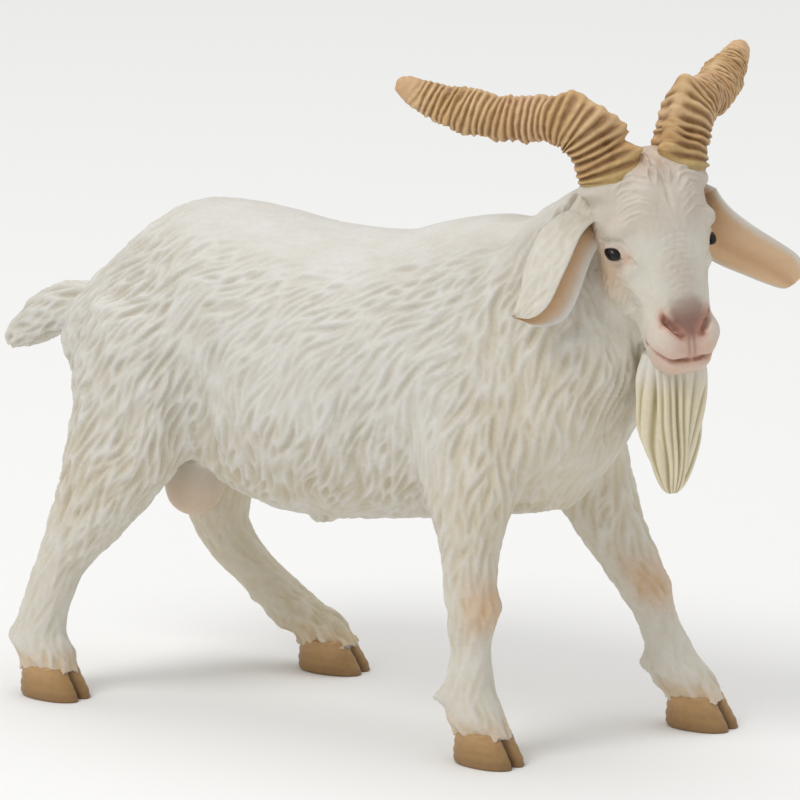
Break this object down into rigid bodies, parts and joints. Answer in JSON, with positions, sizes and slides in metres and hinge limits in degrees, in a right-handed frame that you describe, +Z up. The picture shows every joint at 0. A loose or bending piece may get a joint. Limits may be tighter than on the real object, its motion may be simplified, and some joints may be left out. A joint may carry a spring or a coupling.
{
  "type": "moulded billy goat figurine",
  "caption": "Standing billy goat toy figurine of moulded, hand-painted plastic, with ribbed sweeping horns, hanging ears, a long beard and wavy sculpted fur; its head turns to its right.",
  "frame": {"origin": "middle of the figurine's bounding box, on the ground under its hooves", "axes": "+X the way the goat's body faces, +Y to the goat's left, +Z up"},
  "size_m": [0.1028, 0.049, 0.0816],
  "materials": {
    "coat": "white moulded vinyl with cream paint in the grooves, tan knees and inner ears, and a pink-grey nose",
    "horn": "tan painted vinyl, darker between the ribs and yellow at the root",
    "hoof": "satin tan painted vinyl",
    "beard": "cream moulded vinyl with an olive wash between the locks",
    "eye": "glossy black paint"
  },
  "bodies": {
    "root": {"body": "coat", "head": "coat", "right_ear": "coat", "left_ear": "coat", "tail": "coat", "front_right_leg": "coat", "front_left_leg": "coat", "hind_right_leg": "coat", "hind_left_leg": "coat", "right_horn": "horn", "left_horn": "horn", "front_right_hoof": "hoof", "front_left_hoof": "hoof", "hind_right_hoof": "hoof", "hind_left_hoof": "hoof", "beard": "beard", "right_eye": "eye", "left_eye": "eye"}
  },
  "joints": []
}
